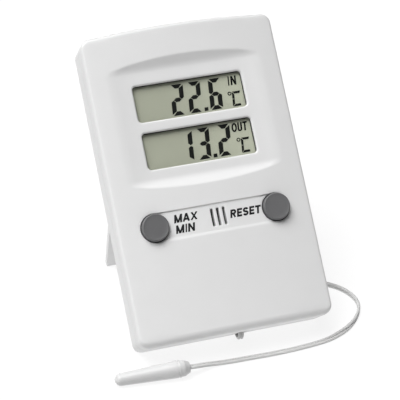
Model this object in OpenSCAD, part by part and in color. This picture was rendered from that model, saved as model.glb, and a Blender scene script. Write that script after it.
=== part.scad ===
// Indoor and outdoor maximum-minimum thermometer. A two-part case leans back on a
// fold-out stand and holds a liquid-crystal display, two keys and one AAA cell. A flat
// two-core cable leaves its lower edge for the outdoor probe.
//
// Every case part is drawn with the case lying on its back: x across, y up the case,
// z from the back towards the face. leaning() then tips it to the angle it stands at.
// The cable and the probe are drawn where they lie, with y = 0 under the case's
// resting edge. The origin is on the table, under the middle of the case.

/* [Case] */
// Width of the case
case_w = 68; // [68:0.5:72]
// Height of the case at its sides
case_h = 107.4; // [107:0.2:110]
// Depth of the case at its sides
case_d = 17; // [17:0.25:18]
// Height of the face's crown above its side edges
crown = 2; // [1.8:0.1:2.4]
// Rise of the arched top edge above the side corners
arch_rise = 0.9; // [0.8:0.1:1.6]
// Radius of the four corners seen from the front
corner_r = 3.5; // [3:0.25:4.5]
// Radius that softens the long side edges of the face
edge_r = 1; // [0.8:0.1:1.4]
// Radius that softens the upper edge of the face
brow_r = 1.5; // [1.2:0.1:2]
// Radius that softens the lower edge of the face
chin_r = 2.5; // [2.2:0.1:3]
// Radius that softens the edges of the back
back_r = 2; // [1.9:0.1:2.4]
// Thickness of the case walls
wall = 1.8; // [1.6:0.1:1.9]
// Height above the back at which the two covers meet
split_z = 9.8; // [9.8:0.1:10]
// Angle that the case leans back from upright
lean = 45; // [44:0.5:46]

/* [Display] */
// Width of each display window at its throat
window_w = 38.8; // [36:0.2:39]
// Height of each display window at its throat
window_h = 12.8; // [12:0.1:13]
// Distance between the middles of the two windows
window_pitch = 16.6; // [16:0.1:17]
// Height up the case of the middle between the windows
display_y = 73.75; // [73:0.05:74]
// Width of the bevel around each window
window_bevel = 0.7; // [0.5:0.1:0.9]
// Height of a digit
digit_h = 10.8; // [9:0.1:11]
// Width of a digit
digit_w = 4.5; // [3.6:0.1:4.6]
// Stroke of a digit's segments
digit_stroke = 1.35; // [0.9:0.05:1.4]

/* [Keys] */
// Radius of the two round keys
key_r = 4.7; // [4.5:0.05:4.9]
// Distance of each key from the middle of the case
key_x = 21.4; // [21:0.1:21.8]
// Height of the keys up the case
key_y = 39.2; // [39:0.1:39.8]
// Height that a key stands above the face
key_proud = 1.85; // [1.6:0.05:2.2]
// Travel of a key
key_travel = 0.8; // [0.6:0.05:0.8]

/* [Stand] */
// Width of the stand flap
stand_w = 62; // [58:0.5:62]
// Angle that the flap swings out from the back
stand_open = 63; // [61:0.5:64]
// Thickness of the stand flap
stand_t = 2.2; // [2:0.1:2.2]
// Height of the stand's hinge up the case
hinge_y = 54.5; // [54:0.1:55]

/* [Power] */
// Radius of the cell
cell_r = 5.1; // [5:0.05:5.15]
// Length of the cell
cell_l = 44.5; // [44:0.1:44.5]
// Height of the cell's middle up the case
cell_y = 20.6; // [20.4:0.1:20.8]

/* [Cable and probe] */
// Width of the flat cable
cable_w = 2.1; // [2:0.05:2.2]
// Thickness of the flat cable
cable_t = 1.1; // [1:0.05:1.2]
// Distance of the cable's outlet from the middle of the case
outlet_x = 3; // [3:0.1:3]
// Length of the probe's tube
probe_l = 21.5; // [20:0.5:22]
// Radius of the probe at its seam
probe_r = 3; // [2.8:0.05:3]
// Radius of the probe's round tip
probe_tip_r = 2.15; // [2:0.05:2.4]

/* [Hidden] */
$fn = 96;

// How close two parts sit where one is placed on the other
seat = 0.1;
// Distance by which a cutting shape runs past what it cuts
over = 1;
// Least radius left where a rounded form is set in
least_r = 0.2;

// The form of the case. The crown and the arch both die out a little inside the
// rounded edges and corners.
crown_reach = case_w / 2 - edge_r - 0.5;
crown_radius = (crown_reach * crown_reach + crown * crown) / (2 * crown);
arch_reach = case_w / 2 - corner_r - 2;
arch_radius = (arch_reach * arch_reach + arch_rise * arch_rise) / (2 * arch_rise);
blend_margin = 1.5;
top_y = case_h + arch_rise;
peak_z = case_d + crown;
// The case rests on its rounded lower back edge, which this drop brings down to z = 0
edge_drop = back_r * (sin(lean) + cos(lean) - 1);
// The middle of the leaning case, measured back from its resting edge
back_reach = (top_y - back_r) * sin(lean) - back_r * cos(lean) + back_r;
front_reach = (peak_z - chin_r) * cos(lean) - chin_r * sin(lean) + chin_r;
foot_mid = (back_reach - front_reach) / 2;

// The sunk display panel: its flat floor has round corners, and a sloping wall climbs
// from it to the crowned face all round
panel_z = case_d + 0.25;
panel_low = 54.8;
panel_high = 93.7;
panel_half = 25.4;
panel_corner = 3.5;
panel_slope = 0.487;
panel_wall = 1;
panel_back = panel_z - panel_wall;
window_r = 1;

// The strip that joins the keys, and the air slots in it
strip_half = 4.75;
strip_depth = 0.5;
slot_w = 0.8;
slot_l = 6;
slot_pitch = 2.1;
slot_x = 0.85;
slot_y = 39.3;

// The stack behind the windows, from the lens down to the circuit board
lens_t = 0.6;
lens_size = [43.4, 34];
glass_t = 2.1;
glass_size = [45.4, 36];
frame_size = [49.4, 39.4];
reading_t = 0.06;
glass_top = panel_back - lens_t - seat;
board_t = 1.2;
board_top = 10.6;
board_low = 31;
board_size = [58, 67];
strip_size = [41, 2.4];

// Columns of the reading, measured to each digit's lower left corner
digit_slant = 6;
segment_gap = 0.12;
tens_x = -6.9;
ones_x = -0.75;
tenths_x = 6.65;
point_x = 4.45;
point_size = 1.3;
digit_drop = 5.5;

// Fasteners
board_posts = [[-26.4, 51], [26.4, 51], [-26.4, 95.4], [26.4, 95.4]];
board_post_r = 2.3;
board_pilot_r = 0.85;
case_posts = [[-27.6, 101.2], [27.6, 101.2], [-27.6, 6.4], [27.6, 6.4]];
case_post_r = 3.2;
case_pilot_r = 1.05;
case_hole_r = 1.35;
screw_head_r = 2.2;
sink_depth = 4;
thread_clearance = 0.05;

// The stand and its recess in the back. The flap is long enough for its foot to reach
// the table when it is open.
hinge_z = stand_t / 2 + 0.2;
hinge_height = hinge_y * cos(lean) + hinge_z * sin(lean) - edge_drop;
stand_slope = 90 + lean - stand_open;
stand_l = (hinge_height - cos(stand_slope) * stand_t / 2) / sin(stand_slope);
flap_gap = 0.35;
recess_z = 2.5;
recess_floor = 4.2;
recess_low = hinge_y - stand_l - 0.6;
recess_high = hinge_y + stand_t / 2 + flap_gap;
trunnion_r = 1;
trunnion_l = 1.6;
hinge_clearance = 0.06;
foot_notch = [16, 3];

// The cell and its bay
bay_x = 25.6;
bay_half = 6;
bay_wall = 1;
bay_top = 15.3;
cell_z = 9.2;
nub_r = 1.9;
nub_l = 0.8;
plate_t = 0.4;
plate_x = bay_x - 0.1;
spring_turns = 4;
spring_steps = 14;
spring_wide_r = 3.6;
spring_narrow_r = 2.2;
spring_wire_r = 0.35;
door_size = [54.2, 13.6];
door_t = 1.2;
door_z = 2.6;
lead_r = 0.55;

// The hole that hangs the case on a wall screw
hanger_y = 97.2;
hanger_r = 3.6;
hanger_slot_r = 1.8;
hanger_rise = 5;

// The keys
key_gap = 0.25;
key_flange_r = 5.9;
key_flange_z = 14.4;
key_flange_t = 1;
key_collar_r = 6.3;
key_collar_t = 0.9;
key_collar_z = 13;
key_stem_r = 2;
key_dome = 0.2;
pad_r = 2.6;
pad_t = 1.4;
key_crown = crown * (1 - pow(key_x / crown_reach, 2));
key_top = case_d + key_crown + key_proud;

// The cable's outlet: the cable turns under the case on a bend of this radius
bend_r = 4.4;
bend_y = 0.2;
bend_z = bend_r + cable_t / 2;
outlet_y = 4.22;
outlet_z = 8.34;
notch_half = 1.6;
notch_wall = 1.3;
relief = [1.2, 0.8]; // how much further the notch runs up the back, and how deep
gland_neck = 2.9;
gland_flange = 5.2;
gland_low = outlet_z - 1.3;
gland_high = split_z - 0.05;

// The round coil of spare cable behind the case, and its tie
coil_x = 18;
coil_y = 78;
coil_mean_r = 6 * cable_w;
coil_rows = 4;
coil_band = 5.4;
coil_base = 0.5;
coil_top = coil_base + coil_rows * (cable_w + 0.05);
coil_out_r = coil_mean_r + coil_band + cable_t;
coil_in_r = coil_mean_r - coil_band;
coil_edge_r = 1;
tie_w = 3;
tie_t = 0.5;

// The probe lies with its seam at this place and its tip to the left, turned a little
// towards the case
probe_x = -22.5;
probe_y = -15.6;
probe_turn = 4;
probe_taper = atan((probe_r - probe_tip_r) / (probe_l - probe_tip_r));
plug_collar = [probe_r, 0.6];
plug_body = [2.8, 1.8];
plug_end = [1.7, 1.6];
plug_l = plug_collar[1] + plug_body[1] + plug_end[1];
probe_bore_r = 1.7;
bead_r = 1.3;

// Route of the cable from the outlet to the coil: x, y and height of its middle, and
// how far its wide side is turned up from the table. It bends under the case's edge,
// then runs along the inside of the stand and out past its right side.
flat_z = cable_t / 2;
edge_z = cable_w / 2;
case_route = [
    [3, -2.9, 8.05, 0], [3, -4.4, 5.2, 0], [3, -4.9, 2.6, 0], [3, -3.6, 0.8, 0],
    [3, 0.4, flat_z, 0], [3, 4, flat_z, 0], [3.1, 7.2, 0.9, 45], [4, 10.4, edge_z, 90], [6.6, 13, edge_z, 90],
    [10.5, 14, edge_z, 90], [16, 14, edge_z, 90], [22, 14, edge_z, 90],
    [27, 14.2, edge_z, 90], [31, 15.8, edge_z, 90], [33.3, 19.2, edge_z, 90],
    [33.9, 24, edge_z, 90], [34, 31, edge_z, 90], [34, 39, edge_z, 90],
    [34, 47, edge_z, 90], [34.2, 55, edge_z, 90], [34.9, 63, edge_z, 90],
    [35.8, 70, edge_z, 90], [36.2, 74, edge_z, 90]];

// Route from the coil to the probe: a turn beside the coil, forward past the case's
// right side, round the loop in front of it and flat along to the probe.
probe_route = [
    [36.4, 80, edge_z, 90], [37, 84.5, edge_z, 90], [39, 88.2, edge_z, 90],
    [42.2, 89.6, edge_z, 90], [45.2, 88, edge_z, 90], [46.6, 84.5, edge_z, 90],
    [46.8, 79, edge_z, 90], [46.6, 72, edge_z, 90], [46.2, 65, edge_z, 90],
    [45.6, 58, edge_z, 90], [44.8, 51, edge_z, 90], [43.6, 44, edge_z, 90],
    [41.8, 37.5, edge_z, 90], [39.2, 31.5, edge_z, 90], [37.2, 26.6, edge_z, 90],
    [37, 22, edge_z, 90], [38.4, 18.2, edge_z, 90], [41.4, 15.3, edge_z, 90],
    [44.6, 12.4, edge_z, 90], [47, 9, edge_z, 90], [48.3, 5.4, edge_z, 90],
    [48.5, 1.8, edge_z, 90], [47.4, -1.7, edge_z, 90], [45, -5.4, edge_z, 85],
    [41.5, -8.8, 1.02, 62], [37, -11.4, 0.92, 34], [31.8, -13.2, 0.7, 10],
    [25.6, -14, flat_z, 0], [18, -14.5, flat_z, 0], [10.6, -14.6, flat_z, 0],
    [3.4, -14.4, flat_z, 0], [-3.4, -14.2, flat_z, 0], [-8, -14.2, 0.85, 0],
    [-12, -14.7, 1.7, 0], [-15, -15.5, 2.6, 0], [-17.2, -15.9, 3.1, 0],
    [-18.4, -15.9, 3.2, 0]];

// Leans the case back and rests its lower back edge on the table
module leaning() {
    translate([0, -foot_mid, -edge_drop])
        rotate([90 - lean, 0, 0])
            children();
}

// Puts what lies on the table under the leaning case
module lying() {
    translate([0, -foot_mid, 0])
        children();
}

// A rectangle with round corners about the origin
module rounded_rect(w, h, r) {
    square([w - 2 * r, h], center = true);
    square([w, h - 2 * r], center = true);
    for (x = [-1, 1], y = [-1, 1])
        translate([x * (w / 2 - r), y * (h / 2 - r)])
            circle(r);
}

// A plate about a middle line of the case, between two heights
module plate(x, y, w, h, r, low, high) {
    translate([x, y, low])
        linear_extrude(high - low)
            rounded_rect(w, h, r);
}

// A block about the case's middle line
module slab(w, y_low, y_high, z_low, z_high) {
    translate([-w / 2, y_low, z_low])
        cube([w, y_high - y_low, z_high - z_low]);
}

// Carries a (y, z) outline across the case
module across(w) {
    translate([-w / 2, 0, 0])
        rotate([90, 0, 90])
            linear_extrude(w)
                children();
}

// A solid through a row of rings that all have the same number of points
module skin(rings) {
    sides = len(rings[0]);
    last = len(rings) - 1;
    points = [for (r = rings) each r];
    walls = [for (i = [0:last - 1], k = [0:sides - 1])
        let (a = i * sides + k, b = i * sides + (k + 1) % sides)
            each [[a, b, b + sides], [a, b + sides, a + sides]]];
    near_end = [[for (k = [0:sides - 1]) sides - 1 - k]];
    far_end = [[for (k = [0:sides - 1]) last * sides + k]];
    polyhedron(points, concat(walls, near_end, far_end));
}

// A round rod between two heights
module post(x, y, r, low, high) {
    translate([x, y, low])
        cylinder(h = high - low, r = r);
}

// Outline of the case from the front, with the arched top edge
module case_plan(inset) {
    translate([0, case_h / 2])
        rounded_rect(case_w - 2 * inset, case_h - 2 * inset, corner_r - inset);
    intersection() {
        translate([0, top_y - arch_radius])
            circle(arch_radius - inset, $fn = 360);
        translate([-arch_reach - blend_margin, case_h / 2])
            square([2 * (arch_reach + blend_margin), case_h]);
    }
}

// A rectangle from 0 to its height, with one corner radius below and another above
module soft_block(w, h, low_r, high_r, inset) {
    intersection() {
        translate([0, h])
            rounded_rect(w - 2 * inset, 2 * h - 2 * inset, max(low_r - inset, least_r));
        rounded_rect(w - 2 * inset, 2 * h - 2 * inset, max(high_r - inset, least_r));
    }
}

// Outline of the case from below, with the crowned face
module case_section(inset) {
    soft_block(case_w, case_d, back_r, edge_r, inset);
    intersection() {
        translate([0, peak_z - crown_radius])
            circle(crown_radius - inset, $fn = 360);
        translate([-crown_reach - blend_margin / 5, case_d / 2])
            square([2 * (crown_reach + blend_margin / 5), case_d]);
    }
}

// Outline of the case from the side
module case_profile(inset) {
    intersection() {
        translate([top_y / 2, 0])
            soft_block(top_y, peak_z, back_r, brow_r, inset);
        translate([top_y, 0])
            soft_block(2 * top_y, peak_z, back_r, chin_r, inset);
    }
}

// The whole form of the case, set in from its outside by a distance
module case_form(inset) {
    intersection() {
        linear_extrude(case_d + 2 * crown)
            case_plan(inset);
        translate([0, top_y, 0])
            rotate([90, 0, 0])
                linear_extrude(top_y)
                    case_section(inset);
        across(case_w)
            case_profile(inset);
    }
}

// A part of the space behind the crowned face, at a depth below it
module under_crown(depth) {
    translate([0, 0, peak_z - crown_radius])
        rotate([-90, 0, 0])
            cylinder(h = case_h, r = crown_radius - depth, $fn = 360);
}

// The window's opening: a straight throat and a bevel up to the panel
module window_opening(y) {
    plate(0, y, window_w, window_h, window_r, panel_back - over, panel_z + over);
    hull() {
        plate(0, y, window_w, window_h, window_r, panel_z - window_bevel, panel_z - window_bevel + 0.01);
        plate(0, y, window_w + 2 * window_bevel + 0.2, window_h + 2 * window_bevel + 0.2,
            window_r + window_bevel, panel_z + 0.1, panel_z + 0.11);
    }
}

// The sunk panel: a flat floor with a sloping wall all round it
module panel_recess() {
    rise = 3;
    run = rise / panel_slope;
    middle = (panel_low + panel_high) / 2;
    tall = panel_high - panel_low;
    hull() {
        plate(0, middle, 2 * panel_half, tall, panel_corner, panel_z, panel_z + 0.01);
        plate(0, middle, 2 * (panel_half + run), tall + 2 * run, panel_corner + run,
            panel_z + rise, panel_z + rise + 0.01);
    }
}

// The shallow strip between the keys
module key_strip() {
    difference() {
        plate(0, key_y, 2 * (key_x + strip_half), 2 * strip_half, strip_half - 0.01,
            case_d - over, peak_z + over);
        under_crown(strip_depth);
    }
}

module air_slots() {
    for (i = [-1:1])
        translate([slot_x + i * slot_pitch - slot_w / 2, slot_y - slot_l / 2, split_z])
            cube([slot_w, slot_l, case_d]);
}

// The round guide behind each key and the posts for the screws
module front_posts() {
    intersection() {
        case_form(wall / 2);
        union() {
            for (x = [-key_x, key_x])
                difference() {
                    post(x, key_y, key_collar_r + key_collar_t, key_collar_z, peak_z);
                    post(x, key_y, key_collar_r, key_collar_z - over, key_flange_z + key_flange_t + seat);
                }
            for (p = board_posts)
                post(p[0], p[1], board_post_r, board_top, peak_z);
            for (p = case_posts)
                post(p[0], p[1], case_post_r, split_z, peak_z);
        }
    }
}

module front_cover() {
    color("white") leaning() difference() {
        union() {
            difference() {
                case_form(0);
                slab(case_w + 2, -over, top_y + over, -over, split_z);
                difference() {
                    case_form(wall);
                    slab(case_w, 46, 99, panel_back, peak_z);
                }
            }
            front_posts();
        }
        panel_recess();
        for (i = [-0.5, 0.5])
            window_opening(display_y + i * window_pitch);
        key_strip();
        air_slots();
        for (x = [-key_x, key_x])
            post(x, key_y, key_r + key_gap, key_collar_z, peak_z + over);
        for (p = board_posts)
            post(p[0], p[1], board_pilot_r, board_top - over, board_top + 4.5);
        for (p = case_posts)
            post(p[0], p[1], case_pilot_r, split_z - over, split_z + 5.5);
    }
}

// The recess that the folded flap lies in, and the floor behind it
module flap_recess(grow, low, high) {
    slab(stand_w + 2 * flap_gap + 2 * grow, recess_low - grow, recess_high + grow, low, high);
}

// The walls of the cell's bay
module bay_shell() {
    difference() {
        slab(2 * (bay_x + bay_wall), cell_y - bay_half - bay_wall, cell_y + bay_half + bay_wall,
            recess_floor - seat, bay_top);
        slab(2 * bay_x, cell_y - bay_half, cell_y + bay_half, 0, bay_top - bay_wall + 0.2);
        for (x = [-plate_x, plate_x - plate_t])
            translate([x - seat, cell_y, 6])
                cube([plate_t + 2 * seat, 2 * bay_half, 3]);
    }
}

// The keyhole that drops over a wall screw
module hanger_hole() {
    post(0, hanger_y, hanger_r, -over, wall + over);
    post(0, hanger_y + hanger_rise, hanger_slot_r, -over, wall + over);
    slab(2 * hanger_slot_r, hanger_y, hanger_y + hanger_rise, -over, wall + over);
}

// Takes a (y, z) box out of the case around the cable's outlet
module outlet_box(half, y_low, y_high, z_low, z_high) {
    translate([outlet_x - half, y_low, z_low])
        cube([2 * half, y_high - y_low, z_high - z_low]);
}

module rear_cover() {
    color("white") leaning() difference() {
        union() {
            difference() {
                intersection() {
                    case_form(0);
                    slab(case_w, 0, top_y, 0, split_z);
                }
                difference() {
                    case_form(wall);
                    flap_recess(wall, 0, recess_floor);
                }
            }
            bay_shell();
            for (p = case_posts)
                post(p[0], p[1], case_post_r, wall / 2, split_z);
            intersection() {
                case_form(wall / 2);
                outlet_box(notch_half + notch_wall, 0, outlet_y + notch_wall, wall / 2, split_z);
            }
        }
        flap_recess(0, -over, recess_z);
        slab(2 * bay_x, cell_y - bay_half, cell_y + bay_half, 0, recess_floor + over);
        slab(door_size[0] + 0.4, cell_y - door_size[1] / 2 - 0.2, cell_y + door_size[1] / 2 + 0.2,
            0, door_z + door_t + seat);
        hanger_hole();
        for (p = case_posts) {
            post(p[0], p[1], case_hole_r, -over, split_z + over);
            post(p[0], p[1], screw_head_r + 0.2, -over, sink_depth);
        }
        for (x = [-1, 1])
            translate([x * (stand_w / 2 + trunnion_l / 2), hinge_y, hinge_z])
                rotate([0, 90, 0])
                    cylinder(h = trunnion_l + 0.6, r = trunnion_r + hinge_clearance, center = true);
        outlet_box(notch_half, -over, outlet_y, -over, split_z + over);
        outlet_box(notch_half, -over, outlet_y + relief[0], -over, relief[1]);
        outlet_box(gland_neck / 2 + 0.05, 0, outlet_y + 2 * notch_wall, gland_low - 0.05, split_z + over);
    }
}

// The clear sheet behind both windows
module display_lens() {
    color([0.85, 0.9, 0.9, 0.4]) leaning()
        plate(0, display_y, lens_size[0], lens_size[1], 1, panel_back - lens_t, panel_back - 0.02);
}

module lcd_glass() {
    color([0.64, 0.65, 0.58]) leaning()
        plate(0, display_y, glass_size[0], glass_size[1], 0.5, glass_top - reading_t - glass_t,
            glass_top - reading_t);
}

// One straight bar of a digit: its outline for the lower left upright, the lower bar
// or the middle bar, before it is mirrored and slanted
function upright() = let (t = digit_stroke, g = segment_gap, m = digit_h / 2)
    [[0, g], [t, t + g], [t, m - t / 2 - g], [t / 2, m - g], [0, m - g]];
function flat_bar() = let (t = digit_stroke, g = segment_gap, w = digit_w)
    [[g, 0], [w - g, 0], [w - t - g, t], [t + g, t]];
function middle_bar() = let (t = digit_stroke, g = segment_gap, w = digit_w, m = digit_h / 2)
    [[t / 2 + g, m], [t + g, m + t / 2], [w - t - g, m + t / 2],
        [w - t / 2 - g, m], [w - t - g, m - t / 2], [t + g, m - t / 2]];

// Mirrors a bar left to right or bottom to top, and slants it
function placed(points, right, top) = [for (p = points)
    let (x = right ? digit_w - p[0] : p[0], y = top ? digit_h - p[1] : p[1])
        [x + y * tan(digit_slant), y]];

// The bars of a digit, named in order as a to g: top, upper right, lower right,
// bottom, lower left, upper left and middle
bars = [placed(flat_bar(), false, true), placed(upright(), true, true),
    placed(upright(), true, false), placed(flat_bar(), false, false),
    placed(upright(), false, false), placed(upright(), false, true),
    placed(middle_bar(), false, false)];
function lit(digit) = digit == 1 ? [1, 2]
    : digit == 2 ? [0, 1, 6, 4, 3]
    : digit == 3 ? [0, 1, 6, 2, 3]
    : [0, 5, 6, 4, 2, 3];

// Three digits and a point, as shown in a window
module reading(digits, window_y) {
    columns = [tens_x, ones_x, tenths_x];
    translate([0, window_y - digit_drop, glass_top - reading_t])
        linear_extrude(reading_t) {
            for (i = [0:2], b = lit(digits[i]))
                translate([columns[i], 0])
                    polygon(bars[b]);
            translate([point_x, 0])
                square(point_size);
        }
}

module indoor_reading() {
    color("black") leaning()
        reading([2, 2, 6], display_y + window_pitch / 2);
}

module outdoor_reading() {
    color("black") leaning()
        reading([1, 3, 2], display_y - window_pitch / 2);
}

// The frame that holds the glass square over the circuit board
module lcd_frame() {
    color("gainsboro") leaning() difference() {
        plate(0, display_y, frame_size[0], frame_size[1], 1, board_top, panel_back - lens_t - seat);
        plate(0, display_y, glass_size[0] + 0.2, glass_size[1] + 0.2, 0.5, board_top - over, peak_z);
    }
}

// Two rubber strips that carry the display's contacts down to the board
module contact_strips() {
    color("dimgray") leaning()
        for (side = [-1, 1])
            translate([-strip_size[0] / 2, display_y + side * 16 - strip_size[1] / 2, board_top])
                cube([strip_size[0], strip_size[1], glass_top - reading_t - glass_t - board_top]);
}

module circuit_board() {
    color("darkgreen") leaning() difference() {
        slab(board_size[0], board_low, board_low + board_size[1], board_top - board_t, board_top);
        for (p = board_posts)
            post(p[0], p[1], board_pilot_r + 0.15, 0, peak_z);
    }
}

// The drop of resin over the measuring chip
module chip_cap() {
    color("black") leaning()
        translate([0, 70, board_top - board_t])
            intersection() {
                translate([0, 0, 7.9])
                    sphere(r = 9.4);
                translate([0, 0, -5])
                    cylinder(h = 5, r = 6);
            }
}

module timing_crystal() {
    color("silver") leaning()
        translate([13, 66, board_top - board_t - 1])
            rotate([-90, 0, 0])
                cylinder(h = 6, r = 1);
}

// The bead that feels the room's air behind the slots, on its two wires
module indoor_sensor() {
    color("black") leaning() {
        translate([slot_x, slot_y + 1, board_top + 3.4])
            sphere(r = 1.2);
        for (x = [-0.6, 0.6])
            post(slot_x + x, slot_y + 1, 0.25, board_top, board_top + 3);
    }
}

// The rubber domes that the keys press on the board
module key_pads() {
    color("gray") leaning()
        for (x = [-key_x, key_x]) {
            post(x, key_y, pad_r, board_top, board_top + pad_t);
            post(x, key_y, pad_r + 1.4, board_top, board_top + 0.5);
        }
}

// A screw driven towards the face, with a cross slot in its round head
module screw(head_z, shank_r, shank_l, head_r, head_t) {
    difference() {
        union() {
            post(0, 0, head_r, head_z - head_t, head_z);
            post(0, 0, shank_r, head_z - 0.1, head_z + shank_l);
        }
        for (turn = [0, 90])
            rotate(turn)
                slab(head_r * 1.3, -0.3, 0.3, head_z - head_t - over, head_z - head_t * 0.4);
    }
}

module board_screws() {
    color("silver") leaning()
        for (p = board_posts)
            translate([p[0], p[1], 0])
                screw(board_top - board_t, board_pilot_r - thread_clearance, 5, 1.8, 1.1);
}

module case_screws() {
    color("silver") leaning()
        for (p = case_posts)
            translate([p[0], p[1], 0])
                screw(sink_depth, case_pilot_r - thread_clearance, 10.5, screw_head_r, 1.6);
}

// The cell, with its raised contact to the right
module battery_cell() {
    color("darkslategray") leaning()
        translate([plate_x - plate_t - cell_l, cell_y, cell_z])
            rotate([0, 90, 0]) {
                cylinder(h = cell_l - nub_l, r = cell_r);
                cylinder(h = cell_l, r = nub_r);
            }
}

// A contact in the end of the bay, with a tab through the bay's wall
module contact_plate(x) {
    translate([x, cell_y - 4, 5.4])
        cube([plate_t, 8, 8]);
    translate([x, cell_y, 6.1])
        cube([plate_t, bay_half + bay_wall + 2, 2.8]);
}

// The coiled contact at the cell's flat end: a wire that winds inwards to the cell
module battery_spring() {
    gap = 2 * (plate_x - plate_t) - cell_l;
    seated = spring_wire_r - seat;
    last = spring_turns * spring_steps;
    function ring(i) = let (
        f = i / last,
        a = 360 * i / spring_steps,
        z = (1 - f) * seated + f * (gap - spring_wire_r))
        [for (k = [0:5])
            let (out = spring_wide_r + f * (spring_narrow_r - spring_wide_r) + spring_wire_r * cos(60 * k))
                [out * cos(a), out * sin(a), z + spring_wire_r * sin(60 * k)]];
    color("silver") leaning() {
        contact_plate(-plate_x);
        translate([-plate_x + plate_t, cell_y, cell_z])
            rotate([0, 90, 0])
                skin([for (i = [0:last]) ring(i)]);
    }
}

module battery_plate() {
    color("silver") leaning()
        contact_plate(plate_x - plate_t);
}

// A round wire between two points
module wire(from, to, r) {
    run = to - from;
    translate(from)
        rotate([0, acos(run[2] / norm(run)), atan2(run[1], run[0])])
            cylinder(h = norm(run), r = r);
}

module battery_leads() {
    start_y = cell_y + bay_half + bay_wall + 2;
    board_back = board_top - board_t;
    color("firebrick") leaning() intersection() {
        slab(case_w, start_y + seat, case_h, 0, board_back - seat);
        for (side = [-1, 1])
            wire([side * (plate_x - plate_t / 2), start_y - 1, 7],
                [side * (plate_x - 1), board_low + 3.5, board_back + 0.5], lead_r);
    }
}

// The grommet that holds the cable where it leaves the case
module cable_gland() {
    color("white") leaning() difference() {
        union() {
            outlet_box(gland_neck / 2, outlet_y, outlet_y + notch_wall + 0.1, gland_low, gland_high);
            outlet_box(gland_flange / 2, outlet_y + notch_wall + 0.05, outlet_y + notch_wall + 3.5,
                gland_low - 0.8, gland_high);
        }
        outlet_box(cable_w / 2 + 0.03, 0, 3 * outlet_y, outlet_z - cable_t / 2 - 0.03,
            outlet_z + cable_t / 2 + 0.03);
    }
}

// The cable inside the case, from the gland over the cell's bay to the board
module inner_cable() {
    path = [[outlet_y + 0.55, outlet_z], [10.4, outlet_z], [12.4, bay_top + 0.75],
        [28.8, bay_top + 0.75], [30.6, board_top + 0.6], [34, board_top + 0.6]];
    color("white") leaning()
        translate([outlet_x - cable_w / 2, 0, 0])
            rotate([90, 0, 90])
                linear_extrude(cable_w) {
                    for (i = [0:len(path) - 2])
                        hull()
                            for (p = [path[i], path[i + 1]])
                                translate(p)
                                    circle(r = cable_t / 2, $fn = 24);
                    translate([outlet_y, outlet_z - cable_t / 2])
                        square([1, cable_t]);
                }
}

// The fold-out stand, drawn folded and then swung open on its hinge
module stand_flap() {
    color("gainsboro") leaning()
        translate([0, hinge_y, hinge_z])
            rotate([stand_open, 0, 0])
                difference() {
                    union() {
                        slab(stand_w, -stand_l, 0, -stand_t / 2, stand_t / 2);
                        rotate([0, 90, 0]) {
                            cylinder(h = stand_w, r = stand_t / 2, center = true);
                            cylinder(h = stand_w + 2 * trunnion_l, r = trunnion_r, center = true);
                        }
                    }
                    slab(foot_notch[0], -stand_l - over, -stand_l + foot_notch[1], -stand_t, stand_t);
                    slab(stand_w - 10, -stand_l + 8, -6, stand_t / 2 - 0.6, stand_t);
                }
}

// The door over the cell, with grip grooves and a hooked lip along one edge
module battery_door() {
    color("white") leaning() difference() {
        slab(door_size[0], cell_y - door_size[1] / 2, cell_y + door_size[1] / 2, door_z, door_z + door_t);
        for (i = [-2:2])
            slab(10, cell_y + i * 1.6 - 0.4, cell_y + i * 1.6 + 0.4, 0, door_z + 0.4);
    }
}

// A key with a gently domed top, a flange that keeps it in and a stem to its pad
module key_cap(x) {
    dome_r = (key_r * key_r + key_dome * key_dome) / (2 * key_dome);
    color("dimgray") leaning() {
        intersection() {
            post(x, key_y, key_r, key_flange_z, key_top);
            translate([x, key_y, key_top - dome_r])
                sphere(r = dome_r, $fn = 360);
        }
        post(x, key_y, key_flange_r, key_flange_z, key_flange_z + key_flange_t);
        post(x, key_y, key_stem_r, board_top + pad_t + key_travel + 0.1, key_flange_z);
    }
}

module max_min_key() {
    key_cap(-key_x);
}

module reset_key() {
    key_cap(key_x);
}

// A point on a smooth curve through the route's points
function route_point(p, i, t) = let (
    a = p[max(i - 1, 0)],
    b = p[i],
    c = p[min(i + 1, len(p) - 1)],
    d = p[min(i + 2, len(p) - 1)])
    0.5 * (2 * b + (c - a) * t + (2 * a - 5 * b + 4 * c - d) * t * t
        + (3 * b - a - 3 * c + d) * t * t * t);
function smooth_route(p, steps) = [for (i = [0:len(p) - 2], s = [0:steps - 1])
    route_point(p, i, s / steps), p[len(p) - 1]];

// Eight points around the flat cable: along its wide side, then through it
function cable_ring() = let (w = cable_w / 2, t = cable_t / 2)
    [[w, -0.4 * t], [w, 0.4 * t], [w - 0.6 * t, t], [0.6 * t - w, t],
        [-w, 0.4 * t], [-w, -0.4 * t], [0.6 * t - w, -t], [w - 0.6 * t, -t]];

// The ring at one place on the route. On a steep stretch the cable keeps square to
// the case, and elsewhere its wide side is turned up by the route's angle.
function spot(q) = [q[0], q[1], q[2]];
function unit(v) = v / norm(v);
function ring_at(q, i) = let (
    ahead = unit(spot(q[min(i + 1, len(q) - 1)]) - spot(q[max(i - 1, 0)])),
    aside = abs(ahead[2]) > 0.4 ? [1, 0, 0] : unit([ahead[1], -ahead[0], 0]),
    up = cross(aside, ahead),
    turn = q[i][3])
    [for (c = cable_ring())
        let (level = c[0] * cos(turn) - c[1] * sin(turn), rise = c[0] * sin(turn) + c[1] * cos(turn))
            spot(q[i]) + level * aside + rise * up];

// The cable's plain solid along its route
module cable_along(q) {
    skin([for (i = [0:len(q) - 1]) ring_at(q, i)]);
}

module cable_from_case() {
    bends = 8;
    tight = smooth_route([for (i = [0:bends]) case_route[i]], 3);
    color("white") lying()
        cable_along(concat(tight, [for (i = [bends + 1:len(case_route) - 1]) case_route[i]]));
}

module cable_to_probe() {
    color("white") lying()
        cable_along(probe_route);
}

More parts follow.
